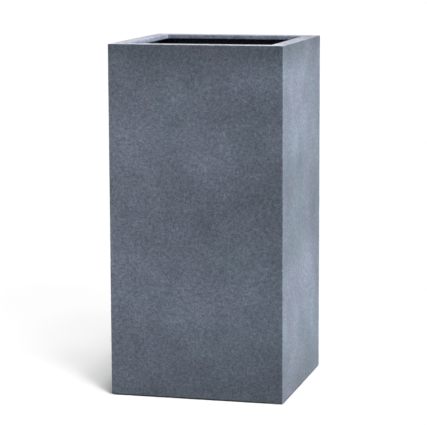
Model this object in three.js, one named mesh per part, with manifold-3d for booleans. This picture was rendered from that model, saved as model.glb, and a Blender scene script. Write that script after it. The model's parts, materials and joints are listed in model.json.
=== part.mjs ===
// A tall square planter: a moulded glass-fibre shell with a turned-in rim, a bonded base panel on
// rubber feet, and a lift-out planting insert that hangs on four brackets inside the shell.
//
// Millimetres, +Z up. The front face looks towards -Y. The origin is on the floor, under the middle
// of the planter.

import * as THREE from "three";
import { mergeVertices } from "three/addons/utils/BufferGeometryUtils.js";
import Module from "manifold-3d";

const wasm = await Module();
wasm.setup();

// ---------------------------------------------------------------- driving dimensions

// Overall size of the planter, standing on its feet.
const PLANTER_WIDTH = 400;
const PLANTER_DEPTH = 400;
const PLANTER_HEIGHT = 800;

// Shell laminate.
const WALL_THICKNESS = 5;
const SHELL_FLOOR_GAP = 2;
const SHELL_EDGE_RADIUS = 1.5;
const SHELL_INNER_CORNER_RADIUS = 10;

// Turned-in rim: a flat lip that ends in a short edge turned down into the opening.
const RIM_WIDTH = 34;
const RIM_THICKNESS = 5;
const RIM_EDGE_HEIGHT = 10;
const RIM_EDGE_THICKNESS = 4;
const RIM_EDGE_RADIUS = 1.5;
const RIM_COVE_RADIUS = 6;

// Base panel: a shallow tray, bonded inside the foot of the shell, that falls to its drain.
const PANEL_UNDERSIDE = 12;
const PANEL_THICKNESS = 6;
const PANEL_FALL = 3;
const PANEL_UPSTAND = 34;
const PANEL_UPSTAND_THICKNESS = 4;
const PANEL_COVE_RADIUS = 8;
const DRAIN_RADIUS = 15;
const DRAIN_COLLAR_WIDTH = 12;

// Rubber feet and the screws that hold them in bosses of the base panel.
const FOOT_RADIUS = 20;
const FOOT_TAPER = 2.5;
const FOOT_EDGE_RADIUS = 2;
const FOOT_INSET = 46;
const FOOT_RECESS_DEPTH = 6;
const SCREW_HEAD_RADIUS = 5;
const SCREW_HEAD_HEIGHT = 3;
const SCREW_SHANK_RADIUS = 2.5;
const SCREW_GRIP = 9;
const SCREW_SLOT_WIDTH = 1.4;
const SCREW_SLOT_DEPTH = 1.2;
const BOSS_WALL = 9;
const BOSS_CAP = 4;

// Drain plug: a tapered rubber stopper with a flange and a pull ring.
const PLUG_FLANGE_WIDTH = 8;
const PLUG_FLANGE_THICKNESS = 3;
const PLUG_TAPER = 1.5;
const PLUG_BELOW_PANEL = 4;
const PULL_RING_RADIUS = 10;
const PULL_RING_THICKNESS = 4;
const PULL_RING_BAR = 3.5;

// Brackets that carry the insert, one in the middle of each wall.
const BRACKET_LENGTH = 120;
const BRACKET_HEIGHT = 46;
const BRACKET_THICKNESS = 4;
const BRACKET_FILLET = 5;
const BRACKET_GUSSETS = 3;
const BRACKET_GUSSET_THICKNESS = 4;
const BRACKET_GUSSET_SETBACK = 6;

// Planting insert: a tapered tub with a flange whose edge turns down onto the brackets.
const INSERT_BELOW_RIM = 52;
const INSERT_DEPTH = 262;
const INSERT_WALL = 3;
const INSERT_FLANGE_WIDTH = 16;
const INSERT_FLANGE_DROP = 12;
const INSERT_FLANGE_CORNER_RADIUS = 14;
const INSERT_CORNER_RADIUS = 26;
const INSERT_DRAFT_DEGREES = 3;
const INSERT_FLOOR_RADIUS = 14;
const INSERT_KICK_UP = 5;
const INSERT_KICK_UP_INSET = 26;
const INSERT_DRAIN_RADIUS = 5;
const INSERT_DRAIN_PITCH = 70;
const INSERT_DRAINS_PER_SIDE = 3;
const INSERT_RIB_DEPTH = 3;
const INSERT_RIB_THICKNESS = 3;
const INSERT_RIB_PITCH = 64;
const INSERT_RIBS_PER_WALL = 3;
const INSERT_RIB_TOP = 40;
const INSERT_RIB_FOOT = 26;

// Two bail handles that fold down flat onto the flange of the insert.
const BAIL_WIRE_RADIUS = 3;
const BAIL_BEND_RADIUS = 7;
const BAIL_CORNER_RADIUS = 22;
const BAIL_PIVOT_SPACING = 32;
const BAIL_HEAD_RADIUS = 4.4;
const BAIL_HEAD_LENGTH = 2.5;
const GRIP_RADIUS = 8;
const GRIP_LENGTH = 112;
const GRIP_RIDGES = 8;
const GRIP_RIDGE_HEIGHT = 0.9;
const SADDLE_THICKNESS = 8;
const SADDLE_EAR_RADIUS = 8;
const SADDLE_FOOT_LENGTH = 14;
const SADDLE_FOOT_HEIGHT = 4;

// Clearances.
const BOND_LINE = 0.3;
const SEAT_GAP = 0.3;
const PIN_CLEARANCE = 0.4;
const SIDE_PLAY = 0.5;
const LIFT_CLEARANCE = 3;
const BRACKET_CLEARANCE = 5;

// How finely round stretches are cut into facets.
const CORNER_STEPS = 5;
const FILLET_STEPS = 3;
const BEND_STEPS = 5;
const ROD_SIDES = 10;
const LATHE_SIDES = 24;
const HOLE_SIDES = 12;

// ---------------------------------------------------------------- worked-out places

const HALF_WIDTH = PLANTER_WIDTH / 2;
const HALF_DEPTH = PLANTER_DEPTH / 2;
const CAVITY_HALF_WIDTH = HALF_WIDTH - WALL_THICKNESS;
const CAVITY_HALF_DEPTH = HALF_DEPTH - WALL_THICKNESS;

const PANEL_TOP = PANEL_UNDERSIDE + PANEL_THICKNESS;
const FOOT_X = HALF_WIDTH - FOOT_INSET;
const FOOT_Y = HALF_DEPTH - FOOT_INSET;
const SCREW_HOLE_RADIUS = SCREW_SHANK_RADIUS + PIN_CLEARANCE;
const SCREW_TIP = PANEL_TOP + SCREW_GRIP;
const BOSS_RADIUS = SCREW_HOLE_RADIUS + BOSS_WALL;
const BOSS_TOP = SCREW_TIP + PIN_CLEARANCE + BOSS_CAP;

const FLANGE_TOP = PLANTER_HEIGHT - INSERT_BELOW_RIM;
const FLANGE_HALF_WIDTH = HALF_WIDTH - RIM_WIDTH - LIFT_CLEARANCE;
const FLANGE_HALF_DEPTH = HALF_DEPTH - RIM_WIDTH - LIFT_CLEARANCE;
const INSERT_BOTTOM = FLANGE_TOP - INSERT_DEPTH;
const DRAFT = Math.tan(THREE.MathUtils.degToRad(INSERT_DRAFT_DEGREES));

const BRACKET_TOP = FLANGE_TOP - INSERT_FLANGE_DROP - SEAT_GAP;
const BRACKET_REACH =
  RIM_WIDTH + LIFT_CLEARANCE + INSERT_FLANGE_WIDTH - BRACKET_CLEARANCE - WALL_THICKNESS - BOND_LINE;

const BAIL_AXIS_HEIGHT = GRIP_RADIUS + SEAT_GAP;
const BAIL_AXIS_Z = FLANGE_TOP + BAIL_AXIS_HEIGHT;
const BAIL_PIVOT_X = BAIL_PIVOT_SPACING / 2;
const BAIL_BAR_X = FLANGE_HALF_WIDTH - GRIP_RADIUS - SIDE_PLAY;
const BAIL_END_Y = FLANGE_HALF_DEPTH - SIDE_PLAY;
const SADDLE_OUTER_Y = BAIL_END_Y - BAIL_HEAD_LENGTH - SIDE_PLAY;
const SADDLE_INNER_Y = SADDLE_OUTER_Y - SADDLE_THICKNESS;
const BAIL_LEG_Y = SADDLE_INNER_Y - SIDE_PLAY - BAIL_BEND_RADIUS;

// ---------------------------------------------------------------- materials

function finish(color, roughness, metalness = 0) {
  return new THREE.MeshStandardMaterial({ color, roughness, metalness });
}

const laminate = () => finish(0x66707c, 0.75);
const innerLaminate = () => finish(0x24272b, 0.8);
const blackPlastic = () => finish(0x1b1d1f, 0.6);
const rubber = () => finish(0x161718, 0.9);
const zincSteel = () => finish(0xa9adb0, 0.4, 0.9);

// ---------------------------------------------------------------- solids

// The same surface with shared corners, and without triangles that have shrunk to a line.
function welded(geometry) {
  const bare = geometry.clone();
  bare.deleteAttribute("normal");
  bare.deleteAttribute("uv");
  const merged = mergeVertices(bare, 1e-4);
  const kept = [];
  for (let i = 0; i < merged.index.count; i += 3) {
    const [a, b, c] = [0, 1, 2].map((k) => merged.index.getX(i + k));
    if (a !== b && b !== c && c !== a) kept.push(a, b, c);
  }
  merged.setIndex(kept);
  return merged;
}

function solidOf(geometry) {
  const surface = welded(geometry);
  return new wasm.Manifold(
    new wasm.Mesh({
      numProp: 3,
      vertProperties: new Float32Array(surface.attributes.position.array),
      triVerts: new Uint32Array(surface.index.array),
    }),
  );
}

function geometryOf(solid) {
  const { vertProperties, triVerts } = solid.getMesh();
  const geometry = new THREE.BufferGeometry();
  geometry.setAttribute("position", new THREE.BufferAttribute(vertProperties, 3));
  geometry.setIndex(new THREE.BufferAttribute(triVerts, 1));
  geometry.computeVertexNormals();
  return geometry;
}

// The first geometry with the others joined to it.
function joined(first, others) {
  const whole = others.reduce((sum, other) => sum.add(solidOf(other)), solidOf(first));
  return geometryOf(whole);
}

// The geometry with every tool cut out of it.
function cut(geometry, tools) {
  const rest = tools.reduce((left, tool) => left.subtract(solidOf(tool)), solidOf(geometry));
  return geometryOf(rest);
}

function piece(name, geometry, material) {
  const mesh = new THREE.Mesh(geometry, material);
  mesh.name = name;
  return mesh;
}

// ---------------------------------------------------------------- outlines

// Points of an open or closed outline whose corners are rounded. Each corner is { r, z, fillet },
// and whatever else a corner holds is passed on to its points.
function rounded(corners, closed) {
  const count = corners.length;
  return corners.flatMap((corner, i) => {
    const before = corners[(i + count - 1) % count];
    const after = corners[(i + 1) % count];
    const isEnd = !closed && (i === 0 || i === count - 1);
    if (!corner.fillet || isEnd) return [corner];
    const here = new THREE.Vector2(corner.r, corner.z);
    const back = new THREE.Vector2(before.r, before.z).sub(here).normalize();
    const ahead = new THREE.Vector2(after.r, after.z).sub(here).normalize();
    const half = Math.acos(THREE.MathUtils.clamp(back.dot(ahead), -1, 1)) / 2;
    const middle = back.clone().add(ahead).normalize();
    const centre = here.clone().addScaledVector(middle, corner.fillet / Math.sin(half));
    const start = here.clone().addScaledVector(back, corner.fillet / Math.tan(half)).sub(centre);
    const turn = (Math.PI - 2 * half) * Math.sign(ahead.cross(back));
    return Array.from({ length: FILLET_STEPS + 1 }, (_, k) => {
      const arm = start.clone().rotateAround(new THREE.Vector2(), (turn * k) / FILLET_STEPS);
      return { ...corner, r: centre.x + arm.x, z: centre.y + arm.y };
    });
  });
}

// A level ring round the axis: a rectangle of half sides x and y with round corners of the radius.
function ring(x, y, radius, z) {
  const signs = [
    [1, 1],
    [-1, 1],
    [-1, -1],
    [1, -1],
  ];
  return signs.flatMap(([sx, sy], quarter) =>
    Array.from({ length: CORNER_STEPS + 1 }, (_, k) => {
      const angle = (quarter + k / CORNER_STEPS) * (Math.PI / 2);
      return new THREE.Vector3(
        sx * (x - radius) + radius * Math.cos(angle),
        sy * (y - radius) + radius * Math.sin(angle),
        z,
      );
    }),
  );
}

// A solid whose outline is carried round a rectangle instead of a circle. Each point of the
// outline is { r, z, plan }: r is how far it lies inside the rectangle of half sides x and y, and
// plan is the radius of the ring's corners. A point with disc set lies on a circle of that radius
// about the axis. An open outline starts and ends on the axis.
function carriedRound(outline, x, y, closed = true) {
  const rings = outline.map(({ r, z, plan, disc }) =>
    disc === undefined ? ring(x - r, y - r, plan, z) : ring(disc, disc, disc, z),
  );
  const size = rings[0].length;
  const positions = rings.flat().flatMap((p) => [p.x, p.y, p.z]);
  const index = [];
  const last = closed ? rings.length : rings.length - 1;
  for (let i = 0; i < last; i++) {
    const lower = i * size;
    const upper = ((i + 1) % rings.length) * size;
    for (let k = 0; k < size; k++) {
      const next = (k + 1) % size;
      index.push(lower + k, lower + next, upper + next, lower + k, upper + next, upper + k);
    }
  }
  const geometry = new THREE.BufferGeometry();
  geometry.setAttribute("position", new THREE.Float32BufferAttribute(positions, 3));
  geometry.setIndex(index);
  return welded(geometry);
}

// A turned solid about the Z axis, from corners { r, z, fillet } of its outline.
function turned(corners, sides = LATHE_SIDES) {
  const onAxis = corners[0].r === 0;
  const points = rounded(corners, !onAxis).map(({ r, z }) => new THREE.Vector2(r, z));
  if (!onAxis) points.push(points[0].clone());
  const lathe = new THREE.LatheGeometry(points, sides);
  lathe.rotateX(Math.PI / 2);
  return welded(lathe);
}

// A closed cylinder along Z that starts at the height bottom.
function pin(radius, bottom, top, sides = HOLE_SIDES) {
  const cylinder = new THREE.CylinderGeometry(radius, radius, top - bottom, sides);
  cylinder.rotateX(Math.PI / 2);
  cylinder.translate(0, 0, (top + bottom) / 2);
  return cylinder;
}

// The path of a rod bent at its corners { point, bend }, with stations only where it bends.
class BentPath extends THREE.Curve {
  constructor(corners) {
    super();
    this.stations = corners.flatMap(({ point, bend }, i) => {
      const before = corners[i - 1];
      const after = corners[i + 1];
      const into = before && point.clone().sub(before.point).normalize();
      const out = after && after.point.clone().sub(point).normalize();
      if (!before || !after) return [{ point, tangent: into || out }];
      const angle = into.angleTo(out);
      const across = out.clone().addScaledVector(into, -into.dot(out)).normalize();
      const start = point.clone().addScaledVector(into, -bend * Math.tan(angle / 2));
      return Array.from({ length: BEND_STEPS + 1 }, (_, k) => {
        const turn = (angle * k) / BEND_STEPS;
        return {
          point: start
            .clone()
            .addScaledVector(into, bend * Math.sin(turn))
            .addScaledVector(across, bend * (1 - Math.cos(turn))),
          tangent: into
            .clone()
            .multiplyScalar(Math.cos(turn))
            .addScaledVector(across, Math.sin(turn)),
        };
      });
    });
  }

  station(u) {
    return this.stations[Math.round(u * (this.stations.length - 1))];
  }

  getPointAt(u) {
    return this.station(u).point.clone();
  }

  getTangentAt(u) {
    return this.station(u).tangent.clone();
  }
}

function bentRod(corners, radius) {
  const path = new BentPath(corners);
  const section = new THREE.Shape(
    Array.from({ length: ROD_SIDES }, (_, k) => {
      const angle = (k / ROD_SIDES) * 2 * Math.PI;
      return new THREE.Vector2(radius * Math.cos(angle), radius * Math.sin(angle));
    }),
  );
  const steps = path.stations.length - 1;
  return new THREE.ExtrudeGeometry(section, { extrudePath: path, steps });
}

// ---------------------------------------------------------------- planter shell

// Walls and rim are one laminate: up the outside, over the rim, down its turned edge, back under
// the lip and down the inside.
function planterShell() {
  const top = PLANTER_HEIGHT;
  const outside = SHELL_EDGE_RADIUS;
  const inside = SHELL_INNER_CORNER_RADIUS;
  const edgeRoot = RIM_WIDTH - RIM_EDGE_THICKNESS;
  const corners = [
    { r: 0, z: SHELL_FLOOR_GAP, fillet: RIM_EDGE_RADIUS, plan: outside },
    { r: 0, z: top, fillet: SHELL_EDGE_RADIUS, plan: outside },
    { r: RIM_WIDTH, z: top, fillet: RIM_EDGE_RADIUS, plan: outside },
    { r: RIM_WIDTH, z: top - RIM_EDGE_HEIGHT, fillet: RIM_EDGE_RADIUS, plan: outside },
    { r: edgeRoot, z: top - RIM_EDGE_HEIGHT, fillet: RIM_EDGE_RADIUS, plan: outside },
    { r: edgeRoot, z: top - RIM_THICKNESS, fillet: RIM_EDGE_RADIUS, plan: outside },
    { r: WALL_THICKNESS, z: top - RIM_THICKNESS, fillet: RIM_COVE_RADIUS, plan: inside },
    { r: WALL_THICKNESS, z: SHELL_FLOOR_GAP, fillet: RIM_EDGE_RADIUS, plan: inside },
  ];
  const geometry = carriedRound(rounded(corners, true), HALF_WIDTH, HALF_DEPTH);
  return piece("planter_shell", geometry, laminate());
}

// ---------------------------------------------------------------- base panel

function footPlaces() {
  return [
    { name: "front_left", x: -FOOT_X, y: -FOOT_Y },
    { name: "front_right", x: FOOT_X, y: -FOOT_Y },
    { name: "back_right", x: FOOT_X, y: FOOT_Y },
    { name: "back_left", x: -FOOT_X, y: FOOT_Y },
  ];
}

function basePanel() {
  const plan = SHELL_INNER_CORNER_RADIUS - BOND_LINE;
  const innerPlan = plan + PANEL_UPSTAND_THICKNESS;
  const upstandTop = PANEL_UNDERSIDE + PANEL_UPSTAND;
  const upstandRadius = PANEL_UPSTAND_THICKNESS / 3;
  const corners = [
    { disc: DRAIN_RADIUS, z: PANEL_UNDERSIDE },
    { r: 0, z: PANEL_UNDERSIDE, plan },
    { r: 0, z: upstandTop, fillet: upstandRadius, plan },
    { r: PANEL_UPSTAND_THICKNESS, z: upstandTop, fillet: upstandRadius, plan: innerPlan },
    {
      r: PANEL_UPSTAND_THICKNESS,
      z: PANEL_TOP + PANEL_FALL,
      fillet: PANEL_COVE_RADIUS,
      plan: innerPlan,
    },
    { r: FOOT_INSET, z: PANEL_TOP + PANEL_FALL, plan: innerPlan },
    { disc: DRAIN_RADIUS + DRAIN_COLLAR_WIDTH, z: PANEL_TOP },
    { disc: DRAIN_RADIUS, z: PANEL_TOP },
  ];
  const outline = [
    corners[0],
    ...rounded(corners.slice(1, 6), false),
    ...corners.slice(6),
  ];
  const x = CAVITY_HALF_WIDTH - BOND_LINE;
  const y = CAVITY_HALF_DEPTH - BOND_LINE;
  const tray = carriedRound(outline, x, y);
  const bosses = [];
  const holes = [];
  for (const place of footPlaces()) {
    const boss = turned([
      { r: 0, z: PANEL_UNDERSIDE + PANEL_THICKNESS / 2 },
      { r: BOSS_RADIUS + PANEL_FALL, z: PANEL_UNDERSIDE + PANEL_THICKNESS / 2 },
      { r: BOSS_RADIUS, z: BOSS_TOP, fillet: FOOT_EDGE_RADIUS },
      { r: 0, z: BOSS_TOP },
    ]);
    bosses.push(boss.translate(place.x, place.y, 0));
    const hole = pin(SCREW_HOLE_RADIUS, PANEL_UNDERSIDE - PIN_CLEARANCE, SCREW_TIP + PIN_CLEARANCE);
    holes.push(hole.translate(place.x, place.y, 0));
  }
  const geometry = cut(joined(tray, bosses), holes);
  return piece("base_panel", geometry, innerLaminate());
}

// ---------------------------------------------------------------- feet

// A rubber foot with a recess for its screw head, so that only rubber meets the floor.
function rubberFoot(name) {
  const recess = SCREW_HEAD_RADIUS + SIDE_PLAY;
  const geometry = turned([
    { r: recess, z: 0, fillet: FOOT_EDGE_RADIUS / 2 },
    { r: FOOT_RADIUS, z: 0, fillet: FOOT_EDGE_RADIUS },
    { r: FOOT_RADIUS - FOOT_TAPER, z: PANEL_UNDERSIDE, fillet: FOOT_EDGE_RADIUS / 2 },
    { r: SCREW_HOLE_RADIUS, z: PANEL_UNDERSIDE },
    { r: SCREW_HOLE_RADIUS, z: FOOT_RECESS_DEPTH },
    { r: recess, z: FOOT_RECESS_DEPTH },
  ]);
  return piece(name, geometry, rubber());
}

// A slotted pan-head screw, up through the foot into the boss of the base panel.
function footScrew(name) {
  const headBottom = FOOT_RECESS_DEPTH - SCREW_HEAD_HEIGHT;
  const body = turned(
    [
      { r: 0, z: headBottom },
      { r: SCREW_HEAD_RADIUS, z: headBottom, fillet: SCREW_HEAD_HEIGHT / 2 },
      { r: SCREW_HEAD_RADIUS, z: FOOT_RECESS_DEPTH },
      { r: SCREW_SHANK_RADIUS, z: FOOT_RECESS_DEPTH },
      { r: SCREW_SHANK_RADIUS, z: SCREW_TIP - SCREW_SHANK_RADIUS },
      { r: SCREW_SHANK_RADIUS / 3, z: SCREW_TIP },
      { r: 0, z: SCREW_TIP },
    ],
    HOLE_SIDES,
  );
  const slot = new THREE.BoxGeometry(
    2 * (SCREW_HEAD_RADIUS + SIDE_PLAY),
    SCREW_SLOT_WIDTH,
    2 * SCREW_SLOT_DEPTH,
  );
  slot.translate(0, 0, headBottom);
  return piece(name, cut(body, [slot]), zincSteel());
}

function feet() {
  const group = new THREE.Group();
  for (const { name, x, y } of footPlaces()) {
    const foot = rubberFoot(`foot_${name}`);
    const screw = footScrew(`foot_screw_${name}`);
    foot.position.set(x, y, 0);
    screw.position.set(x, y, 0);
    group.add(foot, screw);
  }
  return group;
}

// ---------------------------------------------------------------- drain plug

function drainPlug() {
  const bodyTop = DRAIN_RADIUS - SEAT_GAP;
  const bottom = PANEL_UNDERSIDE - PLUG_BELOW_PANEL;
  const flangeTop = PANEL_TOP + PLUG_FLANGE_THICKNESS;
  const stopper = turned([
    { r: 0, z: bottom },
    { r: bodyTop - PLUG_TAPER, z: bottom, fillet: 1 },
    { r: bodyTop, z: PANEL_TOP },
    { r: DRAIN_RADIUS + PLUG_FLANGE_WIDTH, z: PANEL_TOP },
    { r: DRAIN_RADIUS + PLUG_FLANGE_WIDTH, z: flangeTop, fillet: PLUG_FLANGE_THICKNESS / 2 },
    { r: 0, z: flangeTop },
  ]);
  const outer = PULL_RING_RADIUS;
  const inner = PULL_RING_RADIUS - PULL_RING_BAR;
  const outline = new THREE.Shape();
  outline.moveTo(-outer, -outer);
  outline.lineTo(outer, -outer);
  outline.lineTo(outer, 0);
  outline.absarc(0, 0, outer, 0, Math.PI, false);
  const eye = new THREE.Path();
  eye.absarc(0, 0, inner, 0, 2 * Math.PI, true);
  outline.holes.push(eye);
  const ringGeometry = new THREE.ExtrudeGeometry(outline, {
    depth: PULL_RING_THICKNESS,
    bevelEnabled: false,
    curveSegments: HOLE_SIDES / 2,
  });
  ringGeometry.rotateX(Math.PI / 2);
  ringGeometry.translate(0, PULL_RING_THICKNESS / 2, flangeTop + inner);
  return piece("drain_plug", joined(stopper, [ringGeometry]), rubber());
}

// ---------------------------------------------------------------- brackets

// An angle bracket whose back lies in the plane x = 0 and whose shelf reaches towards +X,
// stiffened below by gussets. Its shelf is level with z = 0.
function bracketGeometry() {
  const angle = rounded(
    [
      { r: 0, z: 0 },
      { r: 0, z: -BRACKET_HEIGHT },
      { r: BRACKET_THICKNESS, z: -BRACKET_HEIGHT, fillet: BRACKET_THICKNESS / 3 },
      { r: BRACKET_THICKNESS, z: -BRACKET_THICKNESS, fillet: BRACKET_FILLET },
      { r: BRACKET_REACH, z: -BRACKET_THICKNESS, fillet: BRACKET_THICKNESS / 3 },
      { r: BRACKET_REACH, z: 0, fillet: BRACKET_THICKNESS / 3 },
    ],
    true,
  );
  const overlap = BRACKET_THICKNESS / 2;
  const gusset = [
    { r: overlap, z: -overlap },
    { r: overlap, z: -BRACKET_HEIGHT + BRACKET_GUSSET_SETBACK },
    { r: BRACKET_THICKNESS, z: -BRACKET_HEIGHT + BRACKET_GUSSET_SETBACK },
    { r: BRACKET_REACH - BRACKET_GUSSET_SETBACK, z: -BRACKET_THICKNESS },
    { r: BRACKET_REACH - BRACKET_GUSSET_SETBACK, z: -overlap },
  ];
  const plate = (outline, thickness, y) => {
    const shape = new THREE.Shape(outline.map(({ r, z }) => new THREE.Vector2(r, z)));
    const geometry = new THREE.ExtrudeGeometry(shape, { depth: thickness, bevelEnabled: false });
    geometry.rotateX(Math.PI / 2);
    geometry.translate(0, y + thickness / 2, 0);
    return geometry;
  };
  const pitch = BRACKET_LENGTH / BRACKET_GUSSETS;
  const gussets = Array.from({ length: BRACKET_GUSSETS }, (_, i) =>
    plate(gusset, BRACKET_GUSSET_THICKNESS, (i - (BRACKET_GUSSETS - 1) / 2) * pitch),
  );
  return joined(plate(angle, BRACKET_LENGTH, 0), gussets);
}

function brackets() {
  const group = new THREE.Group();
  const x = CAVITY_HALF_WIDTH - BOND_LINE;
  const y = CAVITY_HALF_DEPTH - BOND_LINE;
  const places = [
    { name: "left", at: [-x, 0], turn: 0 },
    { name: "front", at: [0, -y], turn: Math.PI / 2 },
    { name: "right", at: [x, 0], turn: Math.PI },
    { name: "back", at: [0, y], turn: -Math.PI / 2 },
  ];
  for (const { name, at, turn } of places) {
    const bracket = piece(`insert_bracket_${name}`, bracketGeometry(), innerLaminate());
    bracket.position.set(at[0], at[1], BRACKET_TOP);
    bracket.rotation.z = turn;
    group.add(bracket);
  }
  return group;
}

// ---------------------------------------------------------------- planting insert

// How far the outside of the tub's wall lies inside the edge of its flange at a height.
function tubInset(z) {
  return INSERT_FLANGE_WIDTH + (FLANGE_TOP - z) * DRAFT;
}

function tub() {
  const floorTop = INSERT_BOTTOM + INSERT_WALL;
  const kick = INSERT_KICK_UP;
  const kickInset = tubInset(INSERT_BOTTOM) + INSERT_KICK_UP_INSET;
  const flangeUnder = FLANGE_TOP - INSERT_WALL;
  const dropBottom = FLANGE_TOP - INSERT_FLANGE_DROP;
  const plan = INSERT_CORNER_RADIUS;
  const flangePlan = INSERT_FLANGE_CORNER_RADIUS;
  const innerPlan = INSERT_CORNER_RADIUS - INSERT_WALL;
  const bend = INSERT_WALL;
  const corners = [
    { r: kickInset, z: INSERT_BOTTOM + kick, plan },
    { r: kickInset - kick, z: INSERT_BOTTOM, plan },
    { r: tubInset(INSERT_BOTTOM), z: INSERT_BOTTOM, fillet: INSERT_FLOOR_RADIUS, plan },
    { r: tubInset(flangeUnder), z: flangeUnder, fillet: bend, plan },
    { r: INSERT_WALL, z: flangeUnder, fillet: bend / 3, plan: flangePlan - INSERT_WALL },
    { r: INSERT_WALL, z: dropBottom, plan: flangePlan - INSERT_WALL },
    { r: 0, z: dropBottom, plan: flangePlan },
    { r: 0, z: FLANGE_TOP, fillet: bend, plan: flangePlan },
    { r: tubInset(FLANGE_TOP) + INSERT_WALL, z: FLANGE_TOP, fillet: bend, plan: innerPlan },
    {
      r: tubInset(floorTop) + INSERT_WALL,
      z: floorTop,
      fillet: INSERT_FLOOR_RADIUS - INSERT_WALL,
      plan: innerPlan,
    },
    { r: kickInset - kick, z: floorTop, plan: innerPlan },
    { r: kickInset, z: floorTop + kick, plan: innerPlan },
  ];
  const outline = [
    { disc: 0, z: INSERT_BOTTOM + kick },
    ...rounded(corners, false),
    { disc: 0, z: floorTop + kick },
  ];
  return carriedRound(outline, FLANGE_HALF_WIDTH, FLANGE_HALF_DEPTH, false);
}

// An upright rib on the outside of the tub's wall that faces +X, at y = 0.
function wallRib() {
  const top = FLANGE_TOP - INSERT_RIB_TOP;
  const bottom = INSERT_BOTTOM + INSERT_RIB_FOOT;
  const face = (z) => -tubInset(z);
  const root = -INSERT_WALL / 2;
  const outline = [
    [face(top) + root, top],
    [face(bottom) + root, bottom],
    [face(bottom), bottom],
    [face(bottom + 2 * INSERT_RIB_DEPTH) + INSERT_RIB_DEPTH, bottom + 2 * INSERT_RIB_DEPTH],
    [face(top - 2 * INSERT_RIB_DEPTH) + INSERT_RIB_DEPTH, top - 2 * INSERT_RIB_DEPTH],
    [face(top), top],
  ];
  const shape = new THREE.Shape(outline.map(([x, z]) => new THREE.Vector2(x, z)));
  const depth = INSERT_RIB_THICKNESS;
  const geometry = new THREE.ExtrudeGeometry(shape, { depth, bevelEnabled: false });
  geometry.rotateX(Math.PI / 2);
  geometry.translate(0, depth / 2, 0);
  return geometry;
}

// Places spread evenly about zero.
function spread(count, pitch) {
  return Array.from({ length: count }, (_, i) => (i - (count - 1) / 2) * pitch);
}

function plantingInsert() {
  const ribs = [];
  for (let quarter = 0; quarter < 4; quarter++) {
    const reach = quarter % 2 ? FLANGE_HALF_DEPTH : FLANGE_HALF_WIDTH;
    for (const along of spread(INSERT_RIBS_PER_WALL, INSERT_RIB_PITCH)) {
      const rib = wallRib().translate(reach, along, 0);
      ribs.push(rib.rotateZ((quarter * Math.PI) / 2));
    }
  }
  const drains = [];
  const low = INSERT_BOTTOM - INSERT_WALL;
  const high = INSERT_BOTTOM + INSERT_KICK_UP + 2 * INSERT_WALL;
  for (const x of spread(INSERT_DRAINS_PER_SIDE, INSERT_DRAIN_PITCH)) {
    for (const y of spread(INSERT_DRAINS_PER_SIDE, INSERT_DRAIN_PITCH)) {
      drains.push(pin(INSERT_DRAIN_RADIUS, low, high).translate(x, y, 0));
    }
  }
  return piece("planting_insert", cut(joined(tub(), ribs), drains), blackPlastic());
}

// ---------------------------------------------------------------- bail handles

// A saddle with two ears, one for each bail, that stands on the flange.
function handleSaddle(name, y) {
  const axis = BAIL_AXIS_HEIGHT - BOND_LINE;
  const bore = BAIL_WIRE_RADIUS + PIN_CLEARANCE;
  const ear = SADDLE_EAR_RADIUS;
  const foot = BAIL_PIVOT_X + SADDLE_EAR_RADIUS + SADDLE_FOOT_LENGTH;
  const outline = new THREE.Shape();
  outline.moveTo(-foot, 0);
  outline.lineTo(foot, 0);
  outline.lineTo(foot, SADDLE_FOOT_HEIGHT);
  outline.lineTo(BAIL_PIVOT_X + ear, SADDLE_FOOT_HEIGHT);
  outline.absarc(BAIL_PIVOT_X, axis, ear, 0, Math.PI, false);
  outline.lineTo(BAIL_PIVOT_X - ear, SADDLE_FOOT_HEIGHT);
  outline.lineTo(-BAIL_PIVOT_X + ear, SADDLE_FOOT_HEIGHT);
  outline.absarc(-BAIL_PIVOT_X, axis, ear, 0, Math.PI, false);
  outline.lineTo(-BAIL_PIVOT_X - ear, SADDLE_FOOT_HEIGHT);
  outline.lineTo(-foot, SADDLE_FOOT_HEIGHT);
  for (const x of [-BAIL_PIVOT_X, BAIL_PIVOT_X]) {
    const hole = new THREE.Path();
    hole.absarc(x, axis, bore, 0, 2 * Math.PI, true);
    outline.holes.push(hole);
  }
  const geometry = new THREE.ExtrudeGeometry(outline, {
    depth: SADDLE_THICKNESS,
    bevelEnabled: false,
    curveSegments: HOLE_SIDES / 2,
  });
  geometry.rotateX(Math.PI / 2);
  geometry.translate(0, SADDLE_THICKNESS / 2, 0);
  const saddle = piece(name, geometry, blackPlastic());
  saddle.position.set(0, y, FLANGE_TOP + BOND_LINE);
  return saddle;
}

// A bail about its pivot axis, which is the Y axis, folded down towards -X.
function bailGeometry() {
  const bar = -(BAIL_BAR_X - BAIL_PIVOT_X);
  const corner = (x, y, bend) => ({ point: new THREE.Vector3(x, y, 0), bend });
  const rod = bentRod(
    [
      corner(0, -BAIL_END_Y + BAIL_HEAD_LENGTH / 2, 0),
      corner(0, -BAIL_LEG_Y, BAIL_BEND_RADIUS),
      corner(bar, -BAIL_LEG_Y, BAIL_CORNER_RADIUS),
      corner(bar, BAIL_LEG_Y, BAIL_CORNER_RADIUS),
      corner(0, BAIL_LEG_Y, BAIL_BEND_RADIUS),
      corner(0, BAIL_END_Y - BAIL_HEAD_LENGTH / 2, 0),
    ],
    BAIL_WIRE_RADIUS,
  );
  const heads = [-1, 1].map((side) => {
    const head = new THREE.CylinderGeometry(
      BAIL_HEAD_RADIUS,
      BAIL_HEAD_RADIUS,
      BAIL_HEAD_LENGTH,
      HOLE_SIDES,
    );
    return head.translate(0, side * (BAIL_END_Y - BAIL_HEAD_LENGTH / 2), 0);
  });
  return joined(rod, heads);
}

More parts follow.
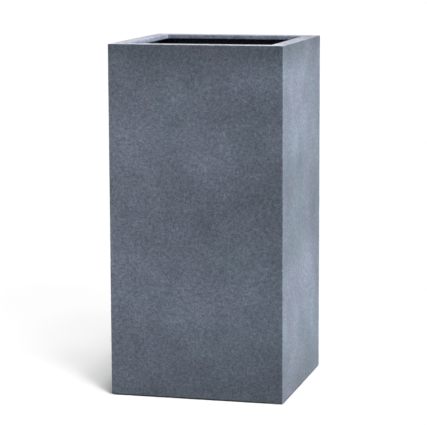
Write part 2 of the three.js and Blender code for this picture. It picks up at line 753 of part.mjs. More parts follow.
// A ridged sleeve moulded round the bar of a bail.
function gripGeometry() {
  const bore = BAIL_WIRE_RADIUS + SEAT_GAP;
  const half = GRIP_LENGTH / 2;
  const pitch = GRIP_LENGTH / GRIP_RIDGES;
  const corners = [{ r: bore, z: -half }];
  for (let i = 0; i < GRIP_RIDGES; i++) {
    const start = -half + i * pitch;
    const valley = { r: GRIP_RADIUS - GRIP_RIDGE_HEIGHT, z: start };
    corners.push(valley, { r: GRIP_RADIUS, z: start + pitch / 4 });
    corners.push({ r: GRIP_RADIUS, z: start + (3 * pitch) / 4 });
  }
  corners.push({ r: GRIP_RADIUS - GRIP_RIDGE_HEIGHT, z: half }, { r: bore, z: half });
  const sleeve = turned(corners, HOLE_SIDES);
  return sleeve.rotateX(Math.PI / 2);
}

// The bail and its grip on one side: -1 is left, 1 is right.
function bail(name, side) {
  const group = new THREE.Group();
  const wire = piece(`bail_handle_${name}`, bailGeometry(), zincSteel());
  const grip = piece(`bail_grip_${name}`, gripGeometry(), rubber());
  grip.position.x = -(BAIL_BAR_X - BAIL_PIVOT_X);
  group.add(wire, grip);
  group.position.set(side * BAIL_PIVOT_X, 0, BAIL_AXIS_Z);
  group.rotation.z = side < 0 ? 0 : Math.PI;
  return group;
}

function insertAssembly() {
  const group = new THREE.Group();
  const saddleY = SADDLE_OUTER_Y - SADDLE_THICKNESS / 2;
  group.add(plantingInsert());
  group.add(handleSaddle("handle_saddle_front", -saddleY));
  group.add(handleSaddle("handle_saddle_back", saddleY));
  group.add(bail("left", -1));
  group.add(bail("right", 1));
  return group;
}

// ---------------------------------------------------------------- the whole planter

const planter = new THREE.Group();
planter.add(planterShell());
planter.add(basePanel());
planter.add(feet());
planter.add(drainPlug());
planter.add(brackets());
planter.add(insertAssembly());

export default planter;
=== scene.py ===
"""The looks of a tall square planter: a moulded glass-fibre shell with a turned-in rim, its base on
rubber feet, and the planting insert with bail handles that hangs inside it.

Lengths are metres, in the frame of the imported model: +Z up, the front face towards -Y, and the
origin on the floor under the middle of the planter.
"""
import json
import math
from typing import NamedTuple

import bmesh
import bpy
import numpy as np
from mathutils import Matrix, Vector, noise


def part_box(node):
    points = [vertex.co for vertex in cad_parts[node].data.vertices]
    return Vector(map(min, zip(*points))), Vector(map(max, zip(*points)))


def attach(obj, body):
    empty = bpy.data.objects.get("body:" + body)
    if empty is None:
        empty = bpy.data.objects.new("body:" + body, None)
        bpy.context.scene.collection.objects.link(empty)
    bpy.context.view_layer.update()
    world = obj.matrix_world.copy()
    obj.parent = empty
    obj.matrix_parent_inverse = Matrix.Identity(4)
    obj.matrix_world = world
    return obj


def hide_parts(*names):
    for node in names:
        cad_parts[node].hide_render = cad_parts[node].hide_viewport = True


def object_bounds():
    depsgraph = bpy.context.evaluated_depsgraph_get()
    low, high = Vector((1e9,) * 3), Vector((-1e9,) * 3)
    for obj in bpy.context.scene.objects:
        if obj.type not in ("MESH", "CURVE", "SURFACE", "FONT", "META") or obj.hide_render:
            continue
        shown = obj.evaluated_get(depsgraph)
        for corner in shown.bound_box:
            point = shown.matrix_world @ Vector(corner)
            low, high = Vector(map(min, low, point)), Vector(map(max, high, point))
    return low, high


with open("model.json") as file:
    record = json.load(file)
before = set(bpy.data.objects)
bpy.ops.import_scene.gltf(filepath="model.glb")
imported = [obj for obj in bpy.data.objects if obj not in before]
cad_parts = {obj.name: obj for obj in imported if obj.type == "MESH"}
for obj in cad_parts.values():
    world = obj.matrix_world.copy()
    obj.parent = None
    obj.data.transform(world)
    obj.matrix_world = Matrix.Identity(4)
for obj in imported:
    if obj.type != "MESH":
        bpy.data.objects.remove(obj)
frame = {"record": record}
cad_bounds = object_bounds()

MM = 0.001

# ---------------------------------------- sizes that no box in the frame gives

WALL = 5 * MM
SHELL_EDGE = 1.5 * MM
SHELL_INNER_CORNER = 10 * MM
RIM_WIDTH = 34 * MM
RIM_THICKNESS = 5 * MM
RIM_EDGE_HEIGHT = 10 * MM
RIM_EDGE_THICKNESS = 4 * MM
RIM_EDGE_RADIUS = 1.5 * MM
RIM_COVE = 6 * MM

# How far the hand-laid skin is drawn in, over long waves and over short ripples.
SKIN_WAVE = 0.3 * MM
SKIN_WAVE_LENGTH = 160 * MM
SKIN_RIPPLE = 0.12 * MM
SKIN_RIPPLE_LENGTH = 35 * MM

# How far wear, with a painted highlight on the mouth's edges, reaches from an edge, and how far
# painted shade reaches down from the top of the walls.
EDGE_REACH = 5 * MM
UPPER_SHADE_REACH = 90 * MM

PANEL_THICKNESS = 6 * MM
PANEL_EDGE = 0.8 * MM
PANEL_FALL = 3 * MM
PANEL_FALL_START = 46 * MM
PANEL_COVE = 8 * MM
UPSTAND_THICKNESS = 4 * MM
UPSTAND_EDGE = UPSTAND_THICKNESS / 3
DRAIN_RADIUS = 15 * MM
DRAIN_COLLAR = 12 * MM
BOSS_RADIUS = 11.9 * MM
BOSS_TOP = 31.4 * MM
BOSS_EDGE = 2 * MM
SCREW_HOLE = 2.9 * MM
SCREW_HOLE_TOP = 27.4 * MM

FOOT_NAMES = ("front_left", "front_right", "back_right", "back_left")
FOOT_TAPER = 2.5 * MM
FOOT_EDGE = 2 * MM
FOOT_RECESS = 5.5 * MM
FOOT_RECESS_DEPTH = 6 * MM

SCREW_SHANK = 2.5 * MM
SCREW_ROOT = 1.95 * MM
SCREW_EDGE = 0.3 * MM
SCREW_TIP = SCREW_ROOT / 3
SCREW_TIP_EDGE = 0.2 * MM
THREAD_PITCH = 1.25 * MM
SLOT_WIDTH = 1.4 * MM
SLOT_DEPTH = 1.2 * MM
SLOT_EDGE = 0.1 * MM
# The dome of a screw's head as a share of the head's height, and the cutter of its slot as a share
# of the head's radius.
SCREW_DOME_SHARE = 0.6
SLOT_REACH_SHARE = 1.2

PLUG_STOPPER = 14.7 * MM
PLUG_TAPER = 1.5 * MM
PLUG_EDGE = 1 * MM
PLUG_NECK_EDGE = 0.2 * MM
PLUG_FLANGE_THICKNESS = 3 * MM
PLUG_FLANGE_EDGE = 0.4 * MM
PULL_RING = 10 * MM
PULL_RING_EYE = 6.3 * MM
PULL_RING_RISE = 6.5 * MM
PULL_RING_THICKNESS = 4 * MM
PULL_RING_EDGE = 1.2 * MM

BRACKET_THICKNESS = 4 * MM
BRACKET_EDGE = BRACKET_THICKNESS / 3
BRACKET_FILLET = 5 * MM
GUSSETS = 3
GUSSET_THICKNESS = 4 * MM
GUSSET_SETBACK = 6 * MM

TUB_WALL = 3 * MM
TUB_CORNER = 26 * MM
TUB_DRAFT = math.tan(math.radians(3))
TUB_FLOOR_RADIUS = 14 * MM
TUB_KICK = 5 * MM
TUB_KICK_INSET = 26 * MM
TUB_KICK_RADIUS = 3 * MM
TUB_DRAIN = 5 * MM
TUB_DRAIN_PITCH = 70 * MM
TUB_DRAINS = 3
FLANGE_WIDTH = 16 * MM
FLANGE_DROP = 12 * MM
FLANGE_CORNER = 14 * MM
FLANGE_EDGE = 0.5 * MM

RIBS = 3
RIB_DEPTH = 3 * MM
RIB_RAMP = 2 * RIB_DEPTH
RIB_THICKNESS = 3 * MM
RIB_PITCH = 64 * MM
RIB_TOP = 40 * MM
RIB_FOOT = 26 * MM
# Across a rib: places in half thicknesses from its middle, each with its share of the full depth.
RIB_PROFILE = ((-1.1, 0), (-0.8, 0.88), (-0.6, 1), (0, 1), (0.6, 1), (0.8, 0.88), (1.1, 0))

WIRE = 3 * MM
WIRE_BEND = 7 * MM
WIRE_CORNER = 22 * MM
WIRE_LEG_Y = 144 * MM
WIRE_HEAD_LENGTH = 2.5 * MM
WIRE_HEAD_DOME = 0.8 * MM
WIRE_HEAD_EDGE = 0.3 * MM
PIVOT_X = 16 * MM
PIVOT_Z = 756.3 * MM

GRIP_BORE = 3.3 * MM
GRIP_BORE_EDGE = 0.4 * MM
GRIP_END_EDGE = 0.5 * MM
GRIP_RIDGES = 8
GRIP_RIDGE_HEIGHT = 0.9 * MM
GRIP_RIDGE_EDGE = 1.2 * MM
SADDLE_EAR = 8 * MM
SADDLE_FOOT_HEIGHT = 4 * MM
SADDLE_BORE = 3.4 * MM
SADDLE_EDGE = 0.6 * MM

# The eased edge of a plate that has none of its own.
PLATE_EDGE = 0.5 * MM

# How finely round stretches are cut.
CORNER_STEPS = 10
FILLET_STEPS = 7
BEND_STEPS = 12
DOME_STEPS = 6
EAR_STEPS = 32
BOW_STEPS = 40
LATHE_SIDES = 64
RING_SIDES = 48
GRIP_SIDES = 48
SCREW_SIDES = 40
BORE_SIDES = 40
TUB_DRAIN_SIDES = 32
WIRE_SIDES = 24
THREAD_STEPS = 8
PLATE_EDGE_CUTS = 2

# The longest facet up a wall, the even steps along it, and the places beside its edges.
WALL_GRID = 9 * MM
WALL_STEPS = 44
EDGE_STATIONS = (0.6 * MM, 2.5 * MM, 6 * MM, 11 * MM)

# The fan of points on a side of the base panel, in degrees about the middle of the panel.
FAN_REACH = 42
FAN_STEP = 6

# Points closer than this are one point, and faces thinner than a sliver are dropped.
WELD = 1e-6
SLIVER = 1e-7
CREASE_ANGLE = math.radians(32)

# Outward from each side, in the order in which a ring runs along them: back, left, front, right.
SIDE_WAYS = ((0, 1), (-1, 0), (0, -1), (1, 0))

# Stands up what was made lying flat: its Y becomes Z.
UPRIGHT = Matrix.Rotation(math.pi / 2, 4, "X")


# ---------------------------------------- outlines


class Corner(NamedTuple):
    """A corner of an outline. r is its distance inwards from the outer faces, or outwards from the
    axis where the solid is turned, and z is its height. fillet is the radius that rounds it. plan is
    the radius of the corners of the ring that it becomes, and disc is the radius of that ring where
    it is a circle about the axis. inner marks the inside of the shell."""

    r: float
    z: float
    fillet: float = 0.0
    plan: float = 0.0
    disc: float | None = None
    inner: bool = False


def rounded(corners, closed):
    """The outline's points, with an arc at each corner that has a fillet."""
    points = []
    for i, corner in enumerate(corners):
        is_end = not closed and i in (0, len(corners) - 1)
        if not corner.fillet or is_end:
            points.append(corner)
            continue
        before = corners[i - 1]
        after = corners[(i + 1) % len(corners)]
        here = Vector((corner.r, corner.z))
        back = (Vector((before.r, before.z)) - here).normalized()
        ahead = (Vector((after.r, after.z)) - here).normalized()
        half = back.angle(ahead) / 2
        centre = here + (back + ahead).normalized() * corner.fillet / math.sin(half)
        arm = here + back * corner.fillet / math.tan(half) - centre
        turn = math.copysign(math.pi - 2 * half, ahead.cross(back))
        for k in range(FILLET_STEPS + 1):
            point = centre + Matrix.Rotation(turn * k / FILLET_STEPS, 2) @ arm
            points.append(corner._replace(r=point.x, z=point.y))
    return points


def between(a, b, share):
    return a + (b - a) * share


def subdivided(points, longest):
    """The same closed outline, with points added on its long straight stretches."""
    out = []
    for i, point in enumerate(points):
        out.append(point)
        after = points[(i + 1) % len(points)]
        span = math.hypot(after.r - point.r, after.z - point.z)
        cuts = int(span / longest)
        for k in range(1, cuts + 1):
            share = k / (cuts + 1)
            r = between(point.r, after.r, share)
            z = between(point.z, after.z, share)
            plan = between(point.plan, after.plan, share)
            nearest = point if share < 0.5 else after
            out.append(Corner(r, z, plan=plan, inner=nearest.inner))
    return out


def ring(half_x, half_y, radius, z, stations):
    """A level loop round a rectangle with round corners. stations(straight) gives the points of a
    side, as offsets from its middle, for the half length of its straight stretch."""
    loop = []
    for quarter, (sign_x, sign_y) in enumerate(((1, 1), (-1, 1), (-1, -1), (1, -1))):
        for k in range(CORNER_STEPS + 1):
            angle = (quarter + k / CORNER_STEPS) * math.pi / 2
            x = sign_x * (half_x - radius) + radius * math.cos(angle)
            y = sign_y * (half_y - radius) + radius * math.sin(angle)
            loop.append((x, y, z))
        out_x, out_y = SIDE_WAYS[quarter]
        straight = (half_y if out_x else half_x) - radius
        for offset in stations(straight):
            loop.append((out_x * half_x - out_y * offset, out_y * half_y + out_x * offset, z))
    return np.array(loop)


def fan_stations(straight):
    """Points that lie at even angles about the middle, so that an inner ring can be a true circle."""
    angles = range(-FAN_REACH, FAN_REACH + 1, FAN_STEP)
    return [straight * math.tan(math.radians(angle)) for angle in angles]


def wall_stations(straight):
    """Even points along a wall, closer together beside its edges."""
    even = [straight * (2 * k / WALL_STEPS - 1) for k in range(2, WALL_STEPS - 1)]
    close = [straight - gap for gap in EDGE_STATIONS]
    return [-offset for offset in close] + even + close[::-1]


def rib_stations(straight):
    """The points across each rib of a wall of the tub, whatever the wall's length."""
    offsets = []
    for i in range(RIBS):
        centre = (i - (RIBS - 1) / 2) * RIB_PITCH
        offsets += [centre + place * RIB_THICKNESS / 2 for place, _ in RIB_PROFILE]
    return offsets


def arc(centre_x, centre_y, radius, start, end, steps):
    """Points of an arc, from the angle start to end in degrees."""
    angles = [math.radians(start + (end - start) * k / steps) for k in range(steps + 1)]
    return [(centre_x + radius * math.cos(a), centre_y + radius * math.sin(a)) for a in angles]


def circle(centre_x, centre_y, radius, sides):
    return arc(centre_x, centre_y, radius, 0, 360, sides)[:-1]


# ---------------------------------------- meshes


def placed(name, data):
    """A new object of the scene that holds the data."""
    made = bpy.data.objects.new(name, data)
    bpy.context.scene.collection.objects.link(made)
    return made


def mesh_shown_by(holder):
    """The mesh that an object shows with its modifiers. The object is removed."""
    bpy.context.view_layer.update()
    shown = holder.evaluated_get(bpy.context.evaluated_depsgraph_get())
    mesh = bpy.data.meshes.new_from_object(shown)
    bpy.data.objects.remove(holder)
    return mesh


def weld(bm, sliver):
    """Joins points that coincide, and drops edges and faces thinner than the sliver."""
    bmesh.ops.remove_doubles(bm, verts=bm.verts, dist=WELD)
    bmesh.ops.dissolve_degenerate(bm, dist=sliver, edges=bm.edges)


def mesh_of(name, points, faces, materials=None):
    """A welded mesh with its faces pointing out. materials holds one index for each face."""
    bm = bmesh.new()
    made = [bm.verts.new(point) for point in points]
    for i, face in enumerate(faces):
        new = bm.faces.new([made[k] for k in face])
        new.material_index = materials[i] if materials else 0
    weld(bm, SLIVER)
    bmesh.ops.recalc_face_normals(bm, faces=bm.faces)
    if bm.calc_volume(signed=True) < 0:
        bmesh.ops.reverse_faces(bm, faces=bm.faces)
    mesh = bpy.data.meshes.new(name)
    bm.to_mesh(mesh)
    bm.free()
    return mesh


def strips(rows, size, closed):
    """The four-sided faces between each loop of points and the next, for rows loops of that size."""
    faces = []
    for i in range(rows if closed else rows - 1):
        j = (i + 1) % rows
        for k in range(size):
            n = (k + 1) % size
            faces.append((i * size + k, i * size + n, j * size + n, j * size + k))
    return faces


def carried_round(name, outline, half_x, half_y, stations, closed=True, shape=None):
    """A solid whose outline is carried round a rectangle. shape(loop, corner) may change a loop."""
    square = next(corner for corner in outline if corner.disc is None)
    guide = ring(half_x - square.r, half_y - square.r, square.plan, 0.0, stations)
    angles = np.arctan2(guide[:, 1], guide[:, 0])
    loops = []
    for corner in outline:
        if corner.disc is None:
            loop = ring(half_x - corner.r, half_y - corner.r, corner.plan, corner.z, stations)
        else:
            heights = np.full(len(angles), corner.z)
            loop = np.stack((corner.disc * np.cos(angles), corner.disc * np.sin(angles), heights), 1)
        loops.append(shape(loop, corner) if shape else loop)
    size = len(angles)
    faces = strips(len(loops), size, closed)
    materials = []
    for face in faces:
        start, end = outline[face[0] // size], outline[face[-1] // size]
        materials.append(int(start.inner and end.inner))
    return mesh_of(name, np.concatenate(loops), faces, materials)


def turned(name, corners, sides=LATHE_SIDES, radius_at=None):
    """A solid turned about the Z axis. radius_at(r, z, angle) may change the radius of a point."""
    closed = corners[0].r != 0
    outline = rounded(corners, closed)
    points = []
    for corner in outline:
        for k in range(sides):
            angle = 2 * math.pi * k / sides
            r = radius_at(corner.r, corner.z, angle) if radius_at else corner.r
            points.append((r * math.cos(angle), r * math.sin(angle), corner.z))
    return mesh_of(name, points, strips(len(outline), sides, closed))


def pin(radius, bottom, top, sides=LATHE_SIDES):
    """A closed cylinder along Z."""
    corners = [Corner(0, bottom), Corner(radius, bottom), Corner(radius, top), Corner(0, top)]
    return turned("pin", corners, sides)


def swept(name, stations):
    """A round bar in a level plane, along stations (point, direction, radius)."""
    up = Vector((0, 0, 1))
    points = []
    for point, direction, radius in stations:
        across = direction.cross(up).normalized()
        for k in range(WIRE_SIDES):
            angle = 2 * math.pi * k / WIRE_SIDES
            points.append(point + radius * (across * math.cos(angle) + up * math.sin(angle)))
    return mesh_of(name, points, strips(len(stations), WIRE_SIDES, False))


def plate(name, outline, thickness, holes=(), bevel=PLATE_EDGE):
    """A flat plate in the XY plane, centred on z = 0, with eased edges."""
    curve = bpy.data.curves.new(name, "CURVE")
    curve.dimensions = "2D"
    curve.fill_mode = "BOTH"
    curve.extrude = thickness / 2 - bevel
    curve.bevel_depth = bevel
    curve.bevel_resolution = PLATE_EDGE_CUTS
    curve.offset = -bevel
    for loop in (outline, *holes):
        spline = curve.splines.new("POLY")
        spline.points.add(len(loop) - 1)
        for point, (x, y) in zip(spline.points, loop):
            point.co = (x, y, 0, 1)
        spline.use_cyclic_u = True
    flat = mesh_shown_by(placed(name, curve))
    points = [vertex.co.copy() for vertex in flat.vertices]
    faces = [tuple(polygon.vertices) for polygon in flat.polygons]
    bpy.data.meshes.remove(flat)
    return mesh_of(name, points, faces)


def combined(mesh, others, operation):
    """The mesh after a boolean with each of the others."""
    target = placed("target", mesh)
    tools = [placed("tool", other) for other in others]
    for tool in tools:
        step = target.modifiers.new("step", "BOOLEAN")
        step.operation = operation
        step.solver = "EXACT"
        step.object = tool
    result = mesh_shown_by(target)
    for tool in tools:
        bpy.data.objects.remove(tool)
    bm = bmesh.new()
    bm.from_mesh(result)
    weld(bm, WELD)
    bm.to_mesh(result)
    bm.free()
    return result


def moved(mesh, matrix):
    mesh.transform(matrix)
    return mesh


# ---------------------------------------- pieces

record = frame["record"]
BODY_OF = {n: body for body, nodes in record["behaviour"]["bodies"].items() for n in nodes}


def dress(node, mesh, finishes):
    """Shows the mesh in place of the CAD node, on its body and with its material slot."""
    for finish in finishes:
        mesh.materials.append(finish)
    mesh.shade_smooth()
    mesh.set_sharp_from_angle(angle=CREASE_ANGLE)
    piece = placed(node + "_fine", mesh)
    evened = piece.modifiers.new("even_flats", "WEIGHTED_NORMAL")
    evened.mode = "FACE_AREA"
    evened.keep_sharp = True
    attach(piece, BODY_OF[node])
    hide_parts(node)


def middle_of(node):
    low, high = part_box(node)
    return (low + high) / 2


def onto_axis(node):
    """Takes a solid made about the Z axis to the upright axis of the node."""
    middle = middle_of(node)
    return Matrix.Translation((middle.x, middle.y, 0))


def hand_laid(mesh):
    """Draws the outer faces in a little, as a mould and hand sanding leave them. Nothing moves
    outwards."""
    normals = [normal.vector.copy() for normal in mesh.vertex_normals]
    outer = {k for face in mesh.polygons if face.material_index == 0 for k in face.vertices}
    for k in outer:
        vertex = mesh.vertices[k]
        wave = 0.5 + 0.5 * noise.noise(vertex.co / SKIN_WAVE_LENGTH)
        ripple = 0.5 + 0.5 * noise.noise(vertex.co / SKIN_RIPPLE_LENGTH)
        vertex.co -= normals[k] * (SKIN_WAVE * wave + SKIN_RIPPLE * ripple)


def add_weights(mesh, half_x, half_y, top):
    """Point attributes for the laminate. edge is 1 on the upright and the top outside edges and on
    the edges of the mouth, rim is 0 on the outer faces of the walls and 1 on the rim, and the last,
    which carries painted shade, rises from 0 to 1 up the last stretch of the walls."""
    edge, rim, upper_shade = [], [], []
    for vertex in mesh.vertices:
        x = half_x - abs(vertex.co.x)
        y = half_y - abs(vertex.co.y)
        z = top - vertex.co.z
        first, second, _ = sorted((x, y, z))
        outer = math.hypot(first, second)
        mouth = math.hypot(min(x, y) - RIM_WIDTH, z)
        mouth_corner = math.hypot(x - RIM_WIDTH, y - RIM_WIDTH)
        nearest = min(outer, mouth, mouth_corner)
        on_rim = min(1.0, max(0.0, min(x, y)) / SHELL_EDGE)
        edge.append(max(0.0, 1 - nearest / EDGE_REACH))
        rim.append(on_rim)
        upper_shade.append(max(0.0, 1 - z / UPPER_SHADE_REACH) * (1 - on_rim))
    for name, weights in (("edge", edge), ("rim", rim), ("upper_shade", upper_shade)):
        mesh.attributes.new(name, "FLOAT", "POINT").data.foreach_set("value", weights)


def planter_shell(finishes):
    low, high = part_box("planter_shell")
    root = RIM_WIDTH - RIM_EDGE_THICKNESS
    edge, lip = SHELL_EDGE, RIM_EDGE_RADIUS
    under = high.z - RIM_THICKNESS
    lip_end = high.z - RIM_EDGE_HEIGHT
    corners = [
        Corner(0, low.z, lip, edge),
        Corner(0, high.z, edge, edge),
        Corner(RIM_WIDTH, high.z, lip, edge),
        Corner(RIM_WIDTH, lip_end, lip, edge),
        Corner(root, lip_end, lip, edge, inner=True),
        Corner(root, under, lip, edge, inner=True),
        Corner(WALL, under, RIM_COVE, SHELL_INNER_CORNER, inner=True),
        Corner(WALL, low.z, lip, SHELL_INNER_CORNER, inner=True),
    ]
    outline = subdivided(rounded(corners, True), WALL_GRID)
    mesh = carried_round("shell", outline, high.x, high.y, wall_stations)
    hand_laid(mesh)
    add_weights(mesh, high.x, high.y, high.z)
    dress("planter_shell", mesh, finishes)


def screw_boss(root):
    """A boss that flares a little towards its root, where it joins the base panel."""
    return turned("boss", [
        Corner(0, root),
        Corner(BOSS_RADIUS + PANEL_FALL, root),
        Corner(BOSS_RADIUS, BOSS_TOP, BOSS_EDGE),
        Corner(0, BOSS_TOP),
    ])


def base_panel(finish):
    low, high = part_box("base_panel")
    top = low.z + PANEL_THICKNESS
    plan = SHELL_INNER_CORNER
    inner_plan = plan + UPSTAND_THICKNESS
    corners = [
        Corner(0, low.z, PANEL_EDGE, plan),
        Corner(0, high.z, UPSTAND_EDGE, plan),
        Corner(UPSTAND_THICKNESS, high.z, UPSTAND_EDGE, inner_plan),
        Corner(UPSTAND_THICKNESS, top + PANEL_FALL, PANEL_COVE, inner_plan),
        Corner(PANEL_FALL_START, top + PANEL_FALL, 0, inner_plan),
    ]
    outline = [
        Corner(0, low.z, disc=DRAIN_RADIUS),
        Corner(0, low.z, disc=DRAIN_RADIUS + DRAIN_COLLAR),
        *rounded(corners, False),
        Corner(0, top, disc=DRAIN_RADIUS + DRAIN_COLLAR),
        Corner(0, top, disc=DRAIN_RADIUS),
    ]
    tray = carried_round("tray", outline, high.x, high.y, fan_stations)
    bosses, holes = [], []
    for name in FOOT_NAMES:
        over_foot = onto_axis("foot_" + name)
        bosses.append(moved(screw_boss(low.z + PANEL_THICKNESS / 2), over_foot))
        holes.append(moved(pin(SCREW_HOLE, low.z - MM, SCREW_HOLE_TOP), over_foot))
    mesh = combined(combined(tray, bosses, "UNION"), holes, "DIFFERENCE")
    dress("base_panel", mesh, [finish])


def foot(name, finish):
    node = "foot_" + name
    low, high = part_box(node)
    radius = (high.x - low.x) / 2
    corners = [
        Corner(FOOT_RECESS, 0, FOOT_EDGE / 2),
        Corner(radius, 0, FOOT_EDGE),
        Corner(radius - FOOT_TAPER, high.z, FOOT_EDGE / 2),
        Corner(SCREW_HOLE, high.z),
        Corner(SCREW_HOLE, FOOT_RECESS_DEPTH),
        Corner(FOOT_RECESS, FOOT_RECESS_DEPTH),
    ]
    dress(node, moved(turned(node, corners), onto_axis(node)), [finish])


def threaded(r, z, angle):
    """The radius of a screw's point: that of the thread where the point lies on the shank."""
    if abs(r - SCREW_SHANK) > WELD:
        return r
    turn = (z / THREAD_PITCH - angle / (2 * math.pi)) % 1.0
    return SCREW_ROOT + (SCREW_SHANK - SCREW_ROOT) * abs(2 * turn - 1)


def screw_slot(head, low):
    """The cutter for the slot across a screw's head."""
    reach = head * SLOT_REACH_SHARE
    half = SLOT_WIDTH / 2
    outline = [(-reach, -half), (reach, -half), (reach, half), (-reach, half)]
    slot = plate("slot", outline, 2 * SLOT_DEPTH, bevel=SLOT_EDGE)
    return moved(slot, Matrix.Translation((0, 0, low)))


def foot_screw(name, finish):
    node = "foot_screw_" + name
    low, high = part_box(node)
    head = (high.x - low.x) / 2
    head_top = FOOT_RECESS_DEPTH
    shank_top = high.z - SCREW_SHANK
    rows = int((shank_top - head_top) / THREAD_PITCH * THREAD_STEPS)
    heights = [between(head_top, shank_top, k / rows) for k in range(1, rows)]
    corners = [
        Corner(0, low.z),
        Corner(head, low.z, (head_top - low.z) * SCREW_DOME_SHARE),
        Corner(head, head_top, SCREW_EDGE),
        Corner(SCREW_ROOT, head_top),
        *[Corner(SCREW_SHANK, height) for height in heights],
        Corner(SCREW_ROOT, shank_top),
        Corner(SCREW_TIP, high.z, SCREW_TIP_EDGE),
        Corner(0, high.z),
    ]
    solid = turned(node, corners, SCREW_SIDES, threaded)
    mesh = combined(solid, [screw_slot(head, low.z)], "DIFFERENCE")
    dress(node, moved(mesh, onto_axis(node)), [finish])


def drain_plug(finish):
    low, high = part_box("drain_plug")
    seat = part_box("base_panel")[0].z + PANEL_THICKNESS
    flange_top = seat + PLUG_FLANGE_THICKNESS
    stopper = turned("stopper", [
        Corner(0, low.z),
        Corner(PLUG_STOPPER - PLUG_TAPER, low.z, PLUG_EDGE),
        Corner(PLUG_STOPPER, seat, PLUG_NECK_EDGE),
        Corner(high.x, seat, PLUG_FLANGE_EDGE),
        Corner(high.x, flange_top, PLUG_FLANGE_THICKNESS / 2),
        Corner(0, flange_top),
    ])
    outline = [(-PULL_RING, -PULL_RING), (PULL_RING, -PULL_RING)]
    outline += arc(0, 0, PULL_RING, 0, 180, BOW_STEPS)
    eye = circle(0, 0, PULL_RING_EYE, RING_SIDES)
    bow = plate("bow", outline, PULL_RING_THICKNESS, [eye], PULL_RING_EDGE)
    rise = Matrix.Translation((0, 0, flange_top + PULL_RING_RISE))
    mesh = combined(stopper, [moved(bow, rise @ UPRIGHT)], "UNION")
    dress("drain_plug", mesh, [finish])


def insert_bracket(name, turn, finish):
    """An angle bracket with gussets. turn takes the left wall's bracket round to its own wall."""
    node = "insert_bracket_" + name
    low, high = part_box(node)
    size = high - low
    length, reach = max(size.x, size.y), min(size.x, size.y)
    thickness, edge = BRACKET_THICKNESS, BRACKET_EDGE
    section = rounded([
        Corner(0, 0),
        Corner(0, -size.z),
        Corner(thickness, -size.z, edge),
        Corner(thickness, -thickness, BRACKET_FILLET),
        Corner(reach, -thickness, edge),
        Corner(reach, 0, edge),
    ], True)
    foot_of_gusset = GUSSET_SETBACK - size.z
    tip_of_gusset = reach - GUSSET_SETBACK
    gusset = [
        (thickness / 2, -thickness / 2),
        (thickness / 2, foot_of_gusset),
        (thickness, foot_of_gusset),
        (tip_of_gusset, -thickness),
        (tip_of_gusset, -thickness / 2),
    ]
    solid = moved(plate(node, [(point.r, point.z) for point in section], length), UPRIGHT)
    webs = []
    for i in range(GUSSETS):
        along = (i - (GUSSETS - 1) / 2) * length / GUSSETS
        web = plate("web", gusset, GUSSET_THICKNESS)
        webs.append(moved(web, Matrix.Translation((0, along, 0)) @ UPRIGHT))
    facing = Matrix.Rotation(turn, 4, "Z")
    wall = facing.to_3x3() @ Vector((-1, 0, 0))
    back = middle_of(node) + Vector((wall.x * size.x, wall.y * size.y, size.z)) / 2
    mesh = combined(solid, webs, "UNION")
    dress(node, moved(mesh, Matrix.Translation(back) @ facing), [finish])


def tub_inset(top, z):
    """How far the tub's outer wall lies inside the edge of its flange at a height."""
    return FLANGE_WIDTH + (top - z) * TUB_DRAFT


def rib_heights(bottom, top):
    """Where the ribs start, reach their full depth, leave it and end, from below."""
    low, high = bottom + RIB_FOOT, top - RIB_TOP
    return [low, low + RIB_RAMP, high - RIB_RAMP, high]


def tub_outline(half_x, bottom, top):
    """Half of a cut through the tub, from the middle of its floor up the outer wall, over the flange
    and down the inner wall to the middle again."""
    floor_top = bottom + TUB_WALL
    under = top - TUB_WALL
    drop = top - FLANGE_DROP
    kick = tub_inset(top, bottom) + TUB_KICK_INSET
    kick_foot = kick - TUB_KICK
    plan, inner_plan = TUB_CORNER, TUB_CORNER - TUB_WALL
    flange, inner_flange = FLANGE_CORNER, FLANGE_CORNER - TUB_WALL
    inner_top = tub_inset(top, top) + TUB_WALL
    inner_floor = tub_inset(top, floor_top) + TUB_WALL
    return rounded([
        Corner(half_x, bottom + TUB_KICK, disc=0.0),
        Corner(kick, bottom + TUB_KICK, TUB_KICK_RADIUS, plan),
        Corner(kick_foot, bottom, TUB_KICK_RADIUS, plan),
        Corner(tub_inset(top, bottom), bottom, TUB_FLOOR_RADIUS, plan),
        *[Corner(tub_inset(top, z), z, 0, plan) for z in rib_heights(bottom, top)],
        Corner(tub_inset(top, under), under, TUB_WALL, plan),
        Corner(TUB_WALL, under, TUB_WALL / 3, inner_flange),
        Corner(TUB_WALL, drop, FLANGE_EDGE, inner_flange),
        Corner(0, drop, FLANGE_EDGE, flange),
        Corner(0, top, TUB_WALL, flange),
        Corner(inner_top, top, TUB_WALL, inner_plan),
        Corner(inner_floor, floor_top, TUB_FLOOR_RADIUS - TUB_WALL, inner_plan),
        Corner(kick_foot, floor_top, TUB_KICK_RADIUS, inner_plan),
        Corner(kick, floor_top + TUB_KICK, TUB_KICK_RADIUS, inner_plan),
        Corner(half_x, floor_top + TUB_KICK, disc=0.0),
    ], False)


